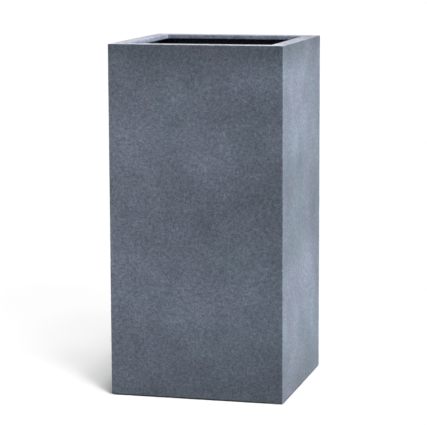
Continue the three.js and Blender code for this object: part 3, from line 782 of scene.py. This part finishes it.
def planting_insert(finish):
    low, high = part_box("planting_insert")
    bottom, top = low.z, high.z
    _, ribs_low, ribs_high, _ = rib_heights(bottom, top)
    # In each quarter of a ring the points of the corner come first, and then those of the ribs.
    first = CORNER_STEPS + 1
    side = first + RIBS * len(RIB_PROFILE)

    def with_ribs(loop, corner):
        """Pushes the ribs out from the tub's outer wall."""
        on_wall = abs(corner.r - tub_inset(top, corner.z)) < WELD and corner.plan == TUB_CORNER
        on_ribs = ribs_low - WELD <= corner.z <= ribs_high + WELD
        if on_wall and on_ribs:
            for quarter, (x, y) in enumerate(SIDE_WAYS):
                for k, (_, share) in enumerate(RIB_PROFILE * RIBS):
                    loop[quarter * side + first + k] += (x * RIB_DEPTH * share, y * RIB_DEPTH * share, 0)
        return loop

    outline = tub_outline(high.x, bottom, top)
    tub = carried_round("tub", outline, high.x, high.y, rib_stations, False, with_ribs)
    drains = []
    for i in range(TUB_DRAINS):
        for j in range(TUB_DRAINS):
            x, y = ((k - (TUB_DRAINS - 1) / 2) * TUB_DRAIN_PITCH for k in (i, j))
            drain = pin(TUB_DRAIN, bottom - TUB_KICK, bottom + 3 * TUB_KICK, TUB_DRAIN_SIDES)
            drains.append(moved(drain, Matrix.Translation((x, y, 0))))
    dress("planting_insert", combined(tub, drains, "DIFFERENCE"), [finish])


def handle_saddle(side, finish):
    node = "handle_saddle_" + side
    low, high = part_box(node)
    middle = middle_of(node)
    axis = PIVOT_Z - low.z
    outline = [(-high.x, 0), (high.x, 0), (high.x, SADDLE_FOOT_HEIGHT)]
    for x in (PIVOT_X, -PIVOT_X):
        outline.append((x + SADDLE_EAR, SADDLE_FOOT_HEIGHT))
        outline += arc(x, axis, SADDLE_EAR, 0, 180, EAR_STEPS)
        outline.append((x - SADDLE_EAR, SADDLE_FOOT_HEIGHT))
    outline.append((-high.x, SADDLE_FOOT_HEIGHT))
    bores = [circle(x, axis, SADDLE_BORE, BORE_SIDES) for x in (-PIVOT_X, PIVOT_X)]
    saddle = plate(node, outline, high.y - low.y, bores, SADDLE_EDGE)
    dress(node, moved(saddle, Matrix.Translation((0, middle.y, low.z)) @ UPRIGHT), [finish])


def bent(corners):
    """Points and directions along a level path whose corners (point, bend radius) are rounded."""
    first, after_first = corners[0][0], corners[1][0]
    last, before_last = corners[-1][0], corners[-2][0]
    path = [(first, (after_first - first).normalized())]
    for i, (point, bend) in enumerate(corners[1:-1], 1):
        into = (point - corners[i - 1][0]).normalized()
        ahead = (corners[i + 1][0] - point).normalized()
        angle = into.angle(ahead)
        across = (ahead - into * into.dot(ahead)).normalized()
        start = point - into * bend * math.tan(angle / 2)
        for k in range(BEND_STEPS + 1):
            turn = angle * k / BEND_STEPS
            place = start + into * bend * math.sin(turn) + across * bend * (1 - math.cos(turn))
            path.append((place, into * math.cos(turn) + across * math.sin(turn)))
    path.append((last, (last - before_last).normalized()))
    return path


def bail_handle(side, sign, finish):
    """A wire bail with upset ends. sign is -1 for the left one and 1 for the right one."""
    node = "bail_handle_" + side
    low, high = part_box(node)
    bar = (low.x if sign < 0 else high.x) - sign * WIRE
    pivot = sign * PIVOT_X
    neck = high.y - WIRE_HEAD_LENGTH
    turns = [
        (pivot, -neck, 0),
        (pivot, -WIRE_LEG_Y, WIRE_BEND),
        (bar, -WIRE_LEG_Y, WIRE_CORNER),
        (bar, WIRE_LEG_Y, WIRE_CORNER),
        (pivot, WIRE_LEG_Y, WIRE_BEND),
        (pivot, neck, 0),
    ]
    path = bent([(Vector((x, y, PIVOT_Z)), bend) for x, y, bend in turns])
    head, dome, edge = (high.z - low.z) / 2, WIRE_HEAD_DOME, WIRE_HEAD_EDGE
    profile = [(0.0, 0.0), *arc(dome, head - dome, dome, 180, 90, DOME_STEPS)]
    profile += [(WIRE_HEAD_LENGTH - edge, head), (WIRE_HEAD_LENGTH, head - edge)]
    y_axis = Vector((0, 1, 0))
    stations = [(Vector((pivot, -high.y + y, PIVOT_Z)), y_axis, r) for y, r in profile]
    stations += [(point, direction, WIRE) for point, direction in path]
    stations += [(Vector((pivot, high.y - y, PIVOT_Z)), y_axis, r) for y, r in reversed(profile)]
    dress(node, swept(node, stations), [finish])


def bail_grip(side, finish):
    node = "bail_grip_" + side
    low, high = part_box(node)
    half = (high.y - low.y) / 2
    radius = (high.z - low.z) / 2
    valley = radius - GRIP_RIDGE_HEIGHT
    pitch = 2 * half / GRIP_RIDGES
    corners = [Corner(GRIP_BORE, -half, GRIP_BORE_EDGE)]
    for i in range(GRIP_RIDGES):
        start = -half + i * pitch
        corners.append(Corner(valley, start, GRIP_RIDGE_EDGE if i else GRIP_END_EDGE))
        corners.append(Corner(radius, start + pitch / 4, GRIP_RIDGE_EDGE))
        corners.append(Corner(radius, start + 3 * pitch / 4, GRIP_RIDGE_EDGE))
    corners.append(Corner(valley, half, GRIP_END_EDGE))
    corners.append(Corner(GRIP_BORE, half, GRIP_BORE_EDGE))
    mesh = moved(turned(node, corners, GRIP_SIDES), Matrix.Translation(middle_of(node)) @ UPRIGHT)
    dress(node, mesh, [finish])


# ---------------------------------------- finishes

# Turned coordinates also tilt about Y, by this share of their turn.
TILT_SHARE = 0.35


class Finish:
    """A procedural material, with short calls for the nodes that the finishes share."""

    def __init__(self, name):
        self.material = bpy.data.materials.new(name)
        self.material.use_nodes = True
        self.tree = self.material.node_tree
        self.shader = self.tree.nodes["Principled BSDF"]
        self.place = self.node("ShaderNodeTexCoord").outputs["Object"]

    def node(self, kind, inputs=None, **settings):
        made = self.tree.nodes.new(kind)
        for name, value in settings.items():
            setattr(made, name, value)
        for socket, value in (inputs or {}).items():
            self.feed(made.inputs[socket], value)
        return made

    def feed(self, socket, value):
        if isinstance(value, bpy.types.NodeSocket):
            self.tree.links.new(value, socket)
        else:
            socket.default_value = value

    def stretched(self, x, y, z, turn=0.0):
        """Object coordinates, turned about Z and a little about Y, and then scaled."""
        inputs = {"Vector": self.place, "Scale": (1 / x, 1 / y, 1 / z)}
        inputs["Rotation"] = (0.0, turn * TILT_SHARE, turn)
        return self.node("ShaderNodeMapping", inputs, vector_type="TEXTURE").outputs[0]

    def noise(self, scale, detail, roughness, seed, where=None):
        """Smooth noise, mostly from 0.25 to 0.75, with about scale clouds to a metre, or to a unit of
        where."""
        inputs = {"Vector": where or self.place, "Scale": scale, "Detail": detail, "W": seed}
        inputs["Roughness"] = roughness
        return self.node("ShaderNodeTexNoise", inputs, noise_dimensions="4D").outputs[0]

    def cells(self, scale, seed):
        """The distance to the nearest cell centre and a random number for each cell."""
        inputs = {"Vector": self.place, "Scale": scale, "W": seed}
        made = self.node("ShaderNodeTexVoronoi", inputs, voronoi_dimensions="4D")
        chance = self.node("ShaderNodeSeparateColor", {"Color": made.outputs["Color"]})
        return made.outputs["Distance"], chance.outputs[0]

    def weight(self, name):
        """A point attribute of the mesh."""
        return self.node("ShaderNodeAttribute", attribute_name=name).outputs["Fac"]

    def math(self, operation, a, b):
        return self.node("ShaderNodeMath", {0: a, 1: b}, operation=operation).outputs[0]

    def product(self, *values):
        total = values[0]
        for value in values[1:]:
            total = self.math("MULTIPLY", total, value)
        return total

    def level(self, value, low, high, to_low, to_high, kind="SMOOTHSTEP"):
        inputs = {"Value": value, "From Min": low, "From Max": high, "To Min": to_low, "To Max": to_high}
        return self.node("ShaderNodeMapRange", inputs, interpolation_type=kind).outputs[0]

    def shading(self, value, strength, low=0.0, high=1.0):
        """A factor from 1 - strength, where the value is low, to 1 + strength, where it is high."""
        return self.level(value, low, high, 1 - strength, 1 + strength, "LINEAR")

    def marked(self, weight, factor):
        """1 where the weight is 0, and the factor where the weight is 1."""
        return self.level(weight, 0, 1, 1.0, factor)

    def mixed(self, factor, a, b):
        """The colour a where the factor is 0 and b where it is 1."""
        made = self.node("ShaderNodeMix", {0: factor}, data_type="RGBA")
        for socket, value in ((made.inputs[6], a), (made.inputs[7], b)):
            self.feed(socket, value if isinstance(value, bpy.types.NodeSocket) else (*value, 1.0))
        return made.outputs[2]

    def mixed_value(self, factor, a, b):
        return self.node("ShaderNodeMix", {0: factor, 2: a, 3: b}, data_type="FLOAT").outputs[0]

    def scaled(self, color, factor):
        made = self.node("ShaderNodeVectorMath", {0: color}, operation="SCALE")
        self.feed(made.inputs["Scale"], factor)
        return made.outputs[0]

    def bump(self, height, distance, under=None):
        made = self.node("ShaderNodeBump", {"Height": height, "Distance": distance, "Strength": 1.0})
        if under:
            self.feed(made.inputs["Normal"], under)
        return made.outputs[0]

    def done(self, color, roughness, normal, **constants):
        self.feed(self.shader.inputs["Base Color"], color)
        self.feed(self.shader.inputs["Roughness"], roughness)
        self.feed(self.shader.inputs["Normal"], normal)
        for name, value in constants.items():
            self.shader.inputs[name.replace("_", " ")].default_value = value
        return self.material


LAMINATE_TEAL = (0.149, 0.193, 0.239)
LAMINATE_PLUM = (0.161, 0.185, 0.239)
LAMINATE_TOP = (0.134, 0.141, 0.168)
# The lip is painted paler and bluer than the walls, as light falling on the turned-down edge.
LAMINATE_LIP_PAINTED_LIGHT = (0.32, 0.36, 0.49)

# Fine noise is stretched from this range before it shades the laminate.
FINE_RANGE = (0.25, 0.75)

# How much brighter, or darker, each kind of mark makes the laminate.
FLECK_FACTOR = 1.8
PIT_FACTOR = 0.6
# Wear brightens the edges, and on the edges of the mouth it is partly a painted highlight.
WORN_AND_HIGHLIGHT_FACTOR = 1.14
WORN_RIM_AND_HIGHLIGHT_FACTOR = 1.2
# A painted highlight and a wider painted sheen about a corner of the rim.
HIGHLIGHT_FACTOR = 1.7
SHEEN_FACTOR = 1.6
# Painted shade at the top of the walls.
UPPER_SHADE_FACTOR = 0.6
FOOT_FACTOR = 0.72

# A painted highlight and a wider painted sheen brighten the rim about the mouth's front right
# corner, over these distances from it.
RIM_TOP = cad_bounds[1].z
HIGHLIGHT_CORNER = (cad_bounds[1].x - RIM_WIDTH, cad_bounds[0].y + RIM_WIDTH, RIM_TOP)
HIGHLIGHT_REACH = (10 * MM, 45 * MM)
SHEEN_REACH = (50 * MM, 360 * MM)
DARK_FOOT_HEIGHT = 100 * MM


def laminate_color(look, height):
    """A blue-grey that drifts between teal and plum, with a darker colour of its own on the rim's
    top, and a lip painted paler and bluer, as light falling on the turned-down edge.
    """
    tint = look.noise(9, 2, 0.5, seed=412.3)
    walls = look.mixed(look.level(tint, 0.35, 0.65, 0, 1), LAMINATE_TEAL, LAMINATE_PLUM)
    on_top = look.level(height, RIM_TOP - SHELL_EDGE, RIM_TOP, 0, 1)
    return look.mixed(look.weight("rim"), walls, look.mixed(on_top, LAMINATE_LIP_PAINTED_LIGHT, LAMINATE_TOP))


def laminate_wear_and_painted_light(look, height):
    """How much brighter or darker each place is made: worn edges, with a painted highlight on the
    edges of the mouth, a painted highlight and a wider painted sheen about a corner of the rim,
    painted shade along the top of the walls, and darker towards the foot of the walls."""
    rim = look.weight("rim")
    scuffs = look.level(look.noise(60, 4, 0.7, seed=6.0), 0.42, 0.58, 0.2, 1)
    wear_and_highlight = look.product(look.weight("edge"), scuffs)
    distance = look.node("ShaderNodeVectorMath", {0: look.place, 1: HIGHLIGHT_CORNER}, operation="DISTANCE")
    from_corner = distance.outputs["Value"]
    highlight = look.level(from_corner, *HIGHLIGHT_REACH, 1, 0)
    sheen = look.level(from_corner, *SHEEN_REACH, SHEEN_FACTOR, 1)
    return look.product(
        # Brighter edges from wear, and on the edges of the mouth partly a painted highlight.
        look.marked(wear_and_highlight, WORN_AND_HIGHLIGHT_FACTOR),
        look.marked(look.product(wear_and_highlight, rim), WORN_RIM_AND_HIGHLIGHT_FACTOR),
        # A painted highlight near the corner, and a wider painted sheen over the rim.
        look.marked(look.product(highlight, rim), HIGHLIGHT_FACTOR),
        look.mixed_value(rim, 1.0, sheen),
        # Painted shade along the top stretch of the walls.
        look.marked(look.weight("upper_shade"), UPPER_SHADE_FACTOR),
        look.level(height, 0.0, DARK_FOOT_HEIGHT, FOOT_FACTOR, 1.0),
    )


def laminate_finish():
    """Sprayed and hand-sanded composite: cloudy blue-grey with fine sandy grain."""
    look = Finish("shell_laminate_finish")
    height = look.node("ShaderNodeSeparateXYZ", {0: look.place}).outputs[2]
    bands = look.noise(1, 2, 0.5, seed=27.3, where=look.stretched(2.2, 2.2, 5))
    clouds = look.noise(5, 2, 0.5, seed=286.3)
    patches = look.noise(10, 3, 0.55, seed=170.1)
    mottle = look.noise(24, 3, 0.6, seed=186.2)
    speckle = look.noise(110, 2, 0.6, seed=7.7)
    grain = look.noise(230, 2, 0.6, seed=2.3)
    dust = look.noise(520, 2, 0.6, seed=5.0)
    near, chance = look.cells(240, seed=1.0)
    fleck = look.product(look.level(near, 0.1, 0.36, 1, 0), look.level(chance, 0.9, 0.94, 0, 1))
    near, chance = look.cells(170, seed=4.0)
    pit = look.product(look.level(near, 0.08, 0.28, 1, 0), look.level(chance, 0.93, 0.95, 0, 1))
    shade = look.product(
        look.shading(bands, 0.46),
        look.shading(clouds, 0.26),
        look.shading(patches, 0.31),
        look.shading(mottle, 0.25),
        look.shading(speckle, 0.32, *FINE_RANGE),
        look.shading(grain, 0.4, *FINE_RANGE),
        look.shading(dust, 0.25, *FINE_RANGE),
        look.marked(fleck, FLECK_FACTOR),
        look.marked(pit, PIT_FACTOR),
        laminate_wear_and_painted_light(look, height),
    )
    color = look.scaled(laminate_color(look, height), shade)
    roughness = look.level(clouds, 0.3, 0.7, 0.66, 0.56)
    sand = look.math("ADD", grain, look.math("MULTIPLY", dust, 0.4))
    sandy = look.bump(look.math("SUBTRACT", sand, pit), 0.2 * MM)
    normal = look.bump(mottle, 1.2 * MM, under=sandy)
    return look.done(color, roughness, normal, Specular_IOR_Level=0.4)


RESIN = (0.042, 0.043, 0.052)
RESIN_STRAND = (0.1, 0.102, 0.114)
STRAND_LAYERS = 5
STRAND_TURN = 0.63


def inner_laminate_finish():
    """Black resin brushed over chopped glass strands, which stand out of it in all directions."""
    look = Finish("inner_laminate_finish")
    strands = 0.0
    for k in range(STRAND_LAYERS):
        lay = look.stretched(30, 420, 420, turn=STRAND_TURN * k)
        strand = look.level(look.noise(1, 1, 0.4, seed=2.0 * k, where=lay), 0.62, 0.7, 0, 1)
        strands = look.math("MAXIMUM", strands, strand)
    pools = look.noise(18, 3, 0.55, seed=4.4)
    dust = look.noise(260, 3, 0.7, seed=9.0)
    shown = look.product(strands, look.level(pools, 0.35, 0.65, 0.2, 1))
    color = look.mixed(shown, RESIN, RESIN_STRAND)
    color = look.scaled(color, look.level(dust, 0.3, 0.7, 0.75, 1.4))
    roughness = look.level(pools, 0.35, 0.65, 0.38, 0.7)
    rough = look.bump(dust, 0.3 * MM)
    normal = look.bump(strands, 0.45 * MM, under=rough)
    return look.done(color, roughness, normal, Specular_IOR_Level=0.3)


PLASTIC = (0.016, 0.0165, 0.018)
PLASTIC_DUSTY = (0.03, 0.031, 0.033)
PLASTIC_SCUFF = (0.09, 0.092, 0.095)


def insert_finish():
    """Black moulded plastic with a fine spark grain, scuffed and a little dusty."""
    look = Finish("insert_plastic_finish")
    grain = look.noise(1500, 2, 0.6, seed=1.0)
    cloud = look.noise(16, 4, 0.6, seed=2.0)
    scratches = look.noise(1, 2, 0.5, seed=3.0, where=look.stretched(380, 24, 60, turn=0.5))
    scuff = look.level(scratches, 0.63, 0.7, 0, 1)
    color = look.mixed(look.level(cloud, 0.35, 0.7, 0, 1), PLASTIC, PLASTIC_DUSTY)
    color = look.scaled(color, look.level(grain, 0.3, 0.7, 0.8, 1.25))
    color = look.mixed(look.product(scuff, 0.35), color, PLASTIC_SCUFF)
    roughness = look.level(cloud, 0.3, 0.7, 0.42, 0.6)
    return look.done(color, roughness, look.bump(grain, 0.1 * MM))


RUBBER = (0.014, 0.014, 0.015)
RUBBER_BLOOM = (0.042, 0.042, 0.043)


def rubber_finish():
    """Black rubber with fine speckle and pale bloom."""
    look = Finish("rubber_finish")
    grain = look.noise(1100, 2, 0.7, seed=1.0)
    bloom = look.noise(55, 4, 0.65, seed=2.0)
    color = look.mixed(look.level(bloom, 0.42, 0.72, 0, 1), RUBBER, RUBBER_BLOOM)
    color = look.scaled(color, look.level(grain, 0.3, 0.7, 0.7, 1.35))
    roughness = look.level(bloom, 0.3, 0.7, 0.66, 0.85)
    return look.done(color, roughness, look.bump(grain, 0.12 * MM), Specular_IOR_Level=0.35)


ZINC_SHADED = (0.52, 0.54, 0.56)
ZINC_BRIGHT = (0.66, 0.67, 0.68)
ZINC_DULL = (0.36, 0.37, 0.38)


def zinc_finish():
    """Bright zinc plating: metal with drawn lines, soft spangle and a few dull spots."""
    look = Finish("zinc_steel_finish")
    lines = look.noise(1, 2, 0.6, seed=1.0, where=look.stretched(900, 40, 900))
    spangle, chance = look.cells(320, seed=2.0)
    spots = look.noise(90, 4, 0.6, seed=3.0)
    color = look.mixed(look.level(chance, 0, 1, 0, 1), ZINC_SHADED, ZINC_BRIGHT)
    color = look.mixed(look.level(spots, 0.5, 0.75, 0, 0.6), color, ZINC_DULL)
    drawn = look.level(lines, 0.3, 0.7, 0.2, 0.34)
    roughness = look.math("ADD", drawn, look.level(spots, 0.5, 0.75, 0, 0.22))
    height = look.math("ADD", lines, look.math("MULTIPLY", spangle, 0.5))
    return look.done(color, roughness, look.bump(height, 0.05 * MM), Metallic=1.0)


# ---------------------------------------- studio

# The floor and the sky look bright to the camera, but throw little light back on the planter.
FLOOR_HALF = 60.0
FLOOR_SHOWN = 0.624
FLOOR_BOUNCED = 0.03
SKY_SHOWN = 1.0
SKY_BOUNCED = 0.05

# The key light is a tall strip over the front right: elevation, level and spread of each stretch.
KEY_WAY = (0.626, -0.78)
KEY_STRIP = ((87, 0.7, 6), (78, 0.43, 8), (67, 0.18, 9), (52, 0.13, 10), (34, 0.12, 10))

# A weak, warm panel at the front left, aimed at the middle of the front face.
PANEL_PLACE = (-0.62, -0.62, 0.45)
PANEL_AIM = (0, -0.2, 0.45)
PANEL_SIZE = 0.3
WARM_WHITE = (1, 0.97, 0.93)

# The camera that the photograph's straight edges agree with.
CAMERA_PLACE = Vector((1.1222, -4.3128, 1.0719))
CAMERA_AZIMUTH = math.radians(-14.7149)
CAMERA_DOWN = math.radians(8.6)
CAMERA_ROLL = math.radians(-0.2283)
CAMERA_LENS = 163.32
CAMERA_REACH = 200.0
SENSOR_WIDTH = 36.0


def seen_directly(tree):
    """1 where a camera, glossy or transmission ray meets the surface, and 0 for other rays."""
    path = tree.nodes.new("ShaderNodeLightPath")
    total = path.outputs["Is Camera Ray"]
    for name in ("Is Glossy Ray", "Is Transmission Ray"):
        either = tree.nodes.new("ShaderNodeMath")
        either.operation = "MAXIMUM"
        tree.links.new(total, either.inputs[0])
        tree.links.new(path.outputs[name], either.inputs[1])
        total = either.outputs[0]
    return total


def grey_by_ray(tree, bounced, shown):
    """The grey shown to rays that see the surface directly, and the grey bounced to the others."""
    made = tree.nodes.new("ShaderNodeMix")
    made.data_type = "RGBA"
    tree.links.new(seen_directly(tree), made.inputs[0])
    made.inputs[6].default_value = (bounced, bounced, bounced, 1)
    made.inputs[7].default_value = (shown, shown, shown, 1)
    return made.outputs[2]


def floor():
    material = bpy.data.materials.new("floor")
    material.use_nodes = True
    tree = material.node_tree
    tree.nodes.clear()
    out = tree.nodes.new("ShaderNodeOutputMaterial")
    matt = tree.nodes.new("ShaderNodeBsdfDiffuse")
    tree.links.new(grey_by_ray(tree, FLOOR_BOUNCED, FLOOR_SHOWN), matt.inputs[0])
    tree.links.new(matt.outputs[0], out.inputs[0])
    half = FLOOR_HALF
    corners = [(-half, -half, 0), (half, -half, 0), (half, half, 0), (-half, half, 0)]
    mesh = bpy.data.meshes.new("floor")
    mesh.from_pydata(corners, [], [(0, 1, 2, 3)])
    mesh.materials.append(material)
    placed("floor", mesh)


def sky():
    world = bpy.data.worlds.new("studio")
    world.use_nodes = True
    tree = world.node_tree
    color = tree.nodes["Background"].inputs["Color"]
    tree.links.new(grey_by_ray(tree, SKY_BOUNCED, SKY_SHOWN), color)
    bpy.context.scene.world = world


def lamp_at(data, place, way):
    """A lamp at the place, which shines against the direction way."""
    lamp = placed(data.name, data)
    lamp.location = place
    lamp.rotation_mode = "QUATERNION"
    lamp.rotation_quaternion = way.to_track_quat("Z", "Y")


def sun(name, towards, elevation, level, spread):
    """A distant lamp in the horizontal direction towards, in degrees above the floor. level is how
    bright it makes a white surface that faces it."""
    data = bpy.data.lights.new(name, "SUN")
    data.energy = level * math.pi
    data.angle = math.radians(spread)
    height = math.radians(elevation)
    level_way = Vector((*towards, 0)).normalized()
    way = level_way * math.cos(height) + Vector((0, 0, math.sin(height)))
    lamp_at(data, (0, 0, 0), way)


def panel(name, place, aim, size, level, color):
    """A square lamp. level is how bright it makes a white surface at its aim that faces it."""
    data = bpy.data.lights.new(name, "AREA")
    data.size = size
    data.color = color
    way = Vector(place) - Vector(aim)
    data.energy = level * math.pi**2 * way.length_squared
    lamp_at(data, place, way)


def lights():
    for elevation, level, spread in KEY_STRIP:
        sun(f"key_{elevation}", KEY_WAY, elevation, level, spread)
    sun("side_right", towards=(1.0, -0.035), elevation=5, level=0.79, spread=12)
    sun("side_back", towards=(-0.45, 0.89), elevation=8, level=0.42, spread=20)
    panel("front_left", PANEL_PLACE, PANEL_AIM, PANEL_SIZE, level=0.195, color=WARM_WHITE)


def camera():
    azimuth, down, roll = CAMERA_AZIMUTH, CAMERA_DOWN, CAMERA_ROLL
    level_way = Vector((math.sin(azimuth), math.cos(azimuth), 0))
    forward = level_way * math.cos(down) - Vector((0, 0, math.sin(down)))
    right = Vector((math.cos(azimuth), -math.sin(azimuth), 0))
    up = right.cross(forward)
    rolled_right = right * math.cos(roll) + up * math.sin(roll)
    rolled_up = up * math.cos(roll) - right * math.sin(roll)
    data = bpy.data.cameras.new("camera")
    data.lens = CAMERA_LENS
    data.sensor_width = SENSOR_WIDTH
    data.clip_end = CAMERA_REACH
    eye = placed("camera", data)
    axes = Matrix((rolled_right, rolled_up, -forward)).transposed().to_4x4()
    eye.matrix_world = Matrix.Translation(CAMERA_PLACE) @ axes
    bpy.context.scene.camera = eye


# ---------------------------------------- the whole planter


def planter():
    laminate = laminate_finish()
    inner = inner_laminate_finish()
    plastic = insert_finish()
    rubber = rubber_finish()
    zinc = zinc_finish()
    planter_shell([laminate, inner])
    base_panel(inner)
    for name in FOOT_NAMES:
        foot(name, rubber)
        foot_screw(name, zinc)
    drain_plug(rubber)
    for name, turn in (("left", 0), ("front", 90), ("right", 180), ("back", -90)):
        insert_bracket(name, math.radians(turn), inner)
    planting_insert(plastic)
    handle_saddle("front", plastic)
    handle_saddle("back", plastic)
    for side, sign in (("left", -1), ("right", 1)):
        bail_handle(side, sign, zinc)
        bail_grip(side, rubber)


def main():
    planter()
    floor()
    sky()
    lights()
    camera()
    bpy.context.scene.view_settings.view_transform = "Standard"


main()
